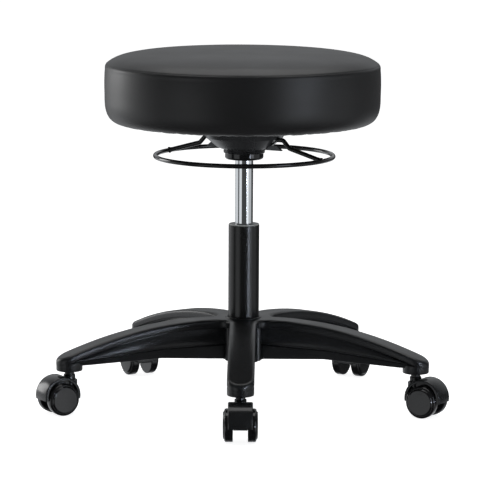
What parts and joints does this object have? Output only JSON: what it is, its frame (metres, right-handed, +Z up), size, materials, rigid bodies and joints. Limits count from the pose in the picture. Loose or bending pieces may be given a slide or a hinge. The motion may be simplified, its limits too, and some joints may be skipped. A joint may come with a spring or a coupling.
{
  "type": "swivel stool",
  "caption": "Round padded stool with a height-adjustable gas lift, a ring lever under the seat and a wheeled star base.",
  "frame": {"origin": "on the seat's swivel axis, at the floor that the wheels stand on", "axes": "+Z up along the swivel axis, -Y towards the front arm of the base, +X to the right seen from that arm"},
  "size_m": [0.6343, 0.6095, 0.55],
  "materials": {
    "black_vinyl": "satin",
    "polyurethane_foam": "matte",
    "plywood": "matte",
    "dust_cover_fabric": "matte",
    "zinc_steel": "satin",
    "powder_coated_steel": "satin",
    "black_lacquered_steel": "gloss",
    "gloss_black_abs": "gloss",
    "chromed_steel": "polished",
    "ground_steel": "polished",
    "rubber_black": "matte",
    "acetal": "satin",
    "valve_aluminium": "satin",
    "glass_filled_nylon": "satin",
    "black_nylon": "satin"
  },
  "bodies": {
    "base": {"base_star": "glass_filled_nylon", "column_tube": "powder_coated_steel", "guide_bush": "acetal", "column_end_plate": "zinc_steel", "lower_race": "ground_steel", "stem_sleeves": "zinc_steel"},
    "lift_rod": {"piston_rod": "ground_steel", "piston": "zinc_steel", "upper_race": "ground_steel", "rubber_bumper": "rubber_black", "rod_clip": "zinc_steel"},
    "bearing": {"bearing_balls": "ground_steel", "ball_cage": "acetal"},
    "seat": {"seat_cover": "black_vinyl", "seat_foam": "polyurethane_foam", "seat_board": "plywood", "dust_cover": "dust_cover_fabric", "cover_staples": "zinc_steel", "tee_nuts": "zinc_steel", "mount_plate": "powder_coated_steel", "mount_cone": "powder_coated_steel", "mount_socket": "powder_coated_steel", "socket_ribs": "powder_coated_steel", "socket_collar": "gloss_black_abs", "mount_bolts": "zinc_steel", "mount_washers": "zinc_steel", "gas_cylinder": "chromed_steel", "cylinder_gland": "ground_steel", "rod_seal": "rubber_black", "valve_plug": "valve_aluminium"},
    "ring_lever": {"lever_ring": "black_lacquered_steel", "lever_cross_rod": "black_lacquered_steel"},
    "release_pin": {"release_pin": "ground_steel"},
    "caster_front": {"caster_hood_front": "black_nylon", "caster_stem_front": "ground_steel", "caster_axle_front": "zinc_steel"},
    "wheel_front_a": {"caster_wheel_front_a": "gloss_black_abs"},
    "wheel_front_b": {"caster_wheel_front_b": "gloss_black_abs"},
    "caster_right": {"caster_hood_right": "black_nylon", "caster_stem_right": "ground_steel", "caster_axle_right": "zinc_steel"},
    "wheel_right_a": {"caster_wheel_right_a": "gloss_black_abs"},
    "wheel_right_b": {"caster_wheel_right_b": "gloss_black_abs"},
    "caster_back_right": {"caster_hood_back_right": "black_nylon", "caster_stem_back_right": "ground_steel", "caster_axle_back_right": "zinc_steel"},
    "wheel_back_right_a": {"caster_wheel_back_right_a": "gloss_black_abs"},
    "wheel_back_right_b": {"caster_wheel_back_right_b": "gloss_black_abs"},
    "caster_back_left": {"caster_hood_back_left": "black_nylon", "caster_stem_back_left": "ground_steel", "caster_axle_back_left": "zinc_steel"},
    "wheel_back_left_a": {"caster_wheel_back_left_a": "gloss_black_abs"},
    "wheel_back_left_b": {"caster_wheel_back_left_b": "gloss_black_abs"},
    "caster_left": {"caster_hood_left": "black_nylon", "caster_stem_left": "ground_steel", "caster_axle_left": "zinc_steel"},
    "wheel_left_a": {"caster_wheel_left_a": "gloss_black_abs"},
    "wheel_left_b": {"caster_wheel_left_b": "gloss_black_abs"}
  },
  "joints": [
    {"name": "seat_swivel", "type": "hinge", "parent": "base", "child": "lift_rod", "pos_m": [0, 0, 0.09], "axis": [0, 0, 1], "continuous": true},
    {"name": "bearing_roll", "type": "hinge", "parent": "base", "child": "bearing", "pos_m": [0, 0, 0.079], "axis": [0, 0, 1], "continuous": true},
    {"name": "height_lift", "type": "slide", "parent": "lift_rod", "child": "seat", "axis": [0, 0, 1], "range_m": [-0.085, 0.045]},
    {"name": "lever_tilt", "type": "hinge", "parent": "seat", "child": "ring_lever", "pos_m": [0.0511, -0.0295, 0.4215], "axis": [-0.5, -0.866, 0], "range_deg": [0, 1.7], "stiffness_Nm_per_rad": 40, "springref_deg": -5.73},
    {"name": "pin_travel", "type": "slide", "parent": "seat", "child": "release_pin", "axis": [0, 0, -1], "range_m": [0, 0.0018]},
    {"name": "swivel_front", "type": "hinge", "parent": "base", "child": "caster_front", "pos_m": [-0.00391, -0.27997, 0.06], "axis": [0, 0, 1], "continuous": true},
    {"name": "roll_front_a", "type": "hinge", "parent": "caster_front", "child": "wheel_front_a", "pos_m": [-0.00391, -0.29947, 0.025], "axis": [1, 0, 0], "continuous": true},
    {"name": "roll_front_b", "type": "hinge", "parent": "caster_front", "child": "wheel_front_b", "pos_m": [-0.00391, -0.29947, 0.025], "axis": [1, 0, 0], "continuous": true},
    {"name": "swivel_right", "type": "hinge", "parent": "base", "child": "caster_right", "pos_m": [0.26506, -0.09023, 0.06], "axis": [0, 0, 1], "continuous": true},
    {"name": "roll_right_a", "type": "hinge", "parent": "caster_right", "child": "wheel_right_a", "pos_m": [0.28195, -0.09998, 0.025], "axis": [0.5, 0.866, 0], "continuous": true},
    {"name": "roll_right_b", "type": "hinge", "parent": "caster_right", "child": "wheel_right_b", "pos_m": [0.28195, -0.09998, 0.025], "axis": [0.5, 0.866, 0], "continuous": true},
    {"name": "swivel_back_right", "type": "hinge", "parent": "base", "child": "caster_back_right", "pos_m": [0.16773, 0.2242, 0.06], "axis": [0, 0, 1], "continuous": true},
    {"name": "roll_back_right_a", "type": "hinge", "parent": "caster_back_right", "child": "wheel_back_right_a", "pos_m": [0.17688, 0.24142, 0.025], "axis": [-0.8829, 0.4695, 0], "continuous": true},
    {"name": "roll_back_right_b", "type": "hinge", "parent": "caster_back_right", "child": "wheel_back_right_b", "pos_m": [0.17688, 0.24142, 0.025], "axis": [-0.8829, 0.4695, 0], "continuous": true},
    {"name": "swivel_back_left", "type": "hinge", "parent": "base", "child": "caster_back_left", "pos_m": [-0.1614, 0.2288, 0.06], "axis": [0, 0, 1], "continuous": true},
    {"name": "roll_back_left_a", "type": "hinge", "parent": "caster_back_left", "child": "wheel_back_left_a", "pos_m": [-0.17056, 0.24602, 0.025], "axis": [-0.8829, -0.4695, 0], "continuous": true},
    {"name": "roll_back_left_b", "type": "hinge", "parent": "caster_back_left", "child": "wheel_back_left_b", "pos_m": [-0.17056, 0.24602, 0.025], "axis": [-0.8829, -0.4695, 0], "continuous": true},
    {"name": "swivel_left", "type": "hinge", "parent": "base", "child": "caster_left", "pos_m": [-0.26748, -0.0828, 0.06], "axis": [0, 0, 1], "continuous": true},
    {"name": "roll_left_a", "type": "hinge", "parent": "caster_left", "child": "wheel_left_a", "pos_m": [-0.28436, -0.09255, 0.025], "axis": [0.5, -0.866, 0], "continuous": true},
    {"name": "roll_left_b", "type": "hinge", "parent": "caster_left", "child": "wheel_left_b", "pos_m": [-0.28436, -0.09255, 0.025], "axis": [0.5, -0.866, 0], "continuous": true}
  ],
  "couplings": [
    {"joint": "bearing_roll", "follows": "seat_swivel", "ratio": 0.5},
    {"joint": "pin_travel", "follows": "lever_tilt", "m_per_rad": 0.059}
  ]
}
